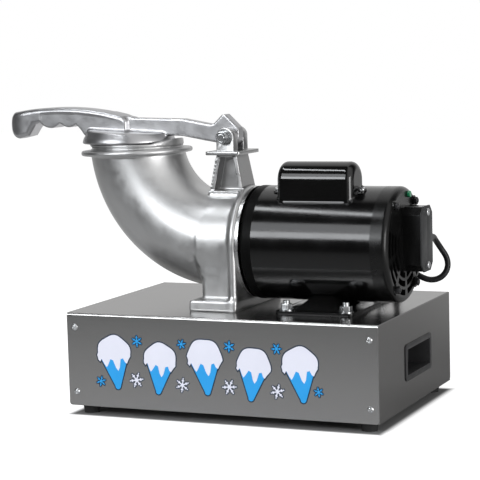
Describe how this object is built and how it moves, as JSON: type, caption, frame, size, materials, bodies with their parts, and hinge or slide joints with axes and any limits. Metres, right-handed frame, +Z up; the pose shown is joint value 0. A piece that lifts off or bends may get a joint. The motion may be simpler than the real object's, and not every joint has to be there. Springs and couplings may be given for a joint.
{
  "type": "electric ice shaver",
  "caption": "Countertop electric ice shaver: cast elbow hopper with a hinged pusher lever and lid, motor-driven cutter disc, sheet cabinet with a pull-out pan.",
  "frame": {"origin": "middle of the part's bounding box in plan with the lever closed and the pan in, on the plane the four feet stand on; the cabinet's own centre is 58.7 mm along +X and 14.8 mm along -Y from it", "axes": "+X from the hopper toward the motor, +Y toward the pan and switch side, +Z up"},
  "size_m": [0.5718, 0.3138, 0.3768],
  "materials": {
    "stainless_sheet": "brushed",
    "stainless_bar": "turned",
    "knife_steel": "ground",
    "cast_aluminium": "tumbled, satin",
    "zinc_fasteners": "bright zinc plated",
    "motor_enamel": "gloss enamel",
    "terminal_plate": "satin enamel",
    "tie_bolt_steel": "black oxide",
    "electrical_steel": "laminated",
    "copper_winding": "varnished wire",
    "bearing_steel": "ground",
    "phenolic": "moulded",
    "green_screw": "green coated",
    "black_rubber": "moulded",
    "cord_jacket": "smooth jacket",
    "black_plastic": "fine texture",
    "rocker_red": "gloss"
  },
  "bodies": {
    "stand": {"base_wrap": "stainless_sheet", "rear_panel": "stainless_sheet", "side_panel_left": "stainless_sheet", "side_panel_right": "stainless_sheet", "pan_rails": "stainless_sheet", "chamber_back_plate": "stainless_bar", "head_casting": "cast_aluminium", "lever_post": "cast_aluminium", "lever_clevis": "cast_aluminium", "panel_screws": "zinc_fasteners", "foot_screws": "zinc_fasteners", "head_bolts": "zinc_fasteners", "pivot_bolt": "zinc_fasteners", "pivot_nut": "zinc_fasteners", "pivot_washers": "zinc_fasteners", "back_plate_screws": "zinc_fasteners", "motor_mount_bolts": "zinc_fasteners", "motor_mount_nuts": "zinc_fasteners", "motor_mount_washers": "zinc_fasteners", "capacitor_screws": "zinc_fasteners", "terminal_screws": "zinc_fasteners", "drive_end_bell": "motor_enamel", "motor_shell": "motor_enamel", "rear_end_bell": "motor_enamel", "motor_foot": "motor_enamel", "capacitor_cover": "motor_enamel", "terminal_box": "motor_enamel", "terminal_cover": "terminal_plate", "tie_bolts": "tie_bolt_steel", "stator_core": "electrical_steel", "stator_windings": "copper_winding", "front_bearing": "bearing_steel", "rear_bearing": "bearing_steel", "start_capacitor": "phenolic", "start_switch": "phenolic", "ground_screw": "green_screw", "foot_front_left": "black_rubber", "foot_rear_left": "black_rubber", "foot_front_right": "black_rubber", "foot_rear_right": "black_rubber", "shaft_seal": "black_rubber", "motor_lead": "cord_jacket", "lead_gland": "cord_jacket", "deck_grip": "cord_jacket", "hand_grip_left": "black_plastic", "hand_grip_right": "black_plastic", "power_switch": "black_plastic", "mains_gland": "black_plastic"},
    "rotor": {"motor_shaft": "bearing_steel", "rotor_core": "electrical_steel", "cooling_fan": "phenolic", "switch_governor": "phenolic", "cutter_disc": "stainless_bar", "cutter_knives": "knife_steel", "knife_screws": "zinc_fasteners", "cutter_nut": "stainless_bar"},
    "lever": {"pusher_lever": "cast_aluminium"},
    "pan": {"ice_pan": "stainless_sheet", "pan_pull": "stainless_bar"},
    "rocker": {"switch_rocker": "rocker_red"}
  },
  "joints": [
    {"name": "rotor_spin", "type": "hinge", "parent": "stand", "child": "rotor", "pos_m": [0.0587, -0.0348, 0.207], "axis": [1, 0, 0], "continuous": true},
    {"name": "lever_pivot", "type": "hinge", "parent": "stand", "child": "lever", "pos_m": [0.0327, -0.0348, 0.3385], "axis": [0, 1, 0], "range_deg": [0, 130]},
    {"name": "pan_slide", "type": "slide", "parent": "stand", "child": "pan", "axis": [0, 1, 0], "range_m": [0, 0.2]},
    {"name": "rocker_tilt", "type": "hinge", "parent": "stand", "child": "rocker", "pos_m": [0.2167, 0.1259, 0.084], "axis": [1, 0, 0], "range_deg": [-20, 0]}
  ]
}
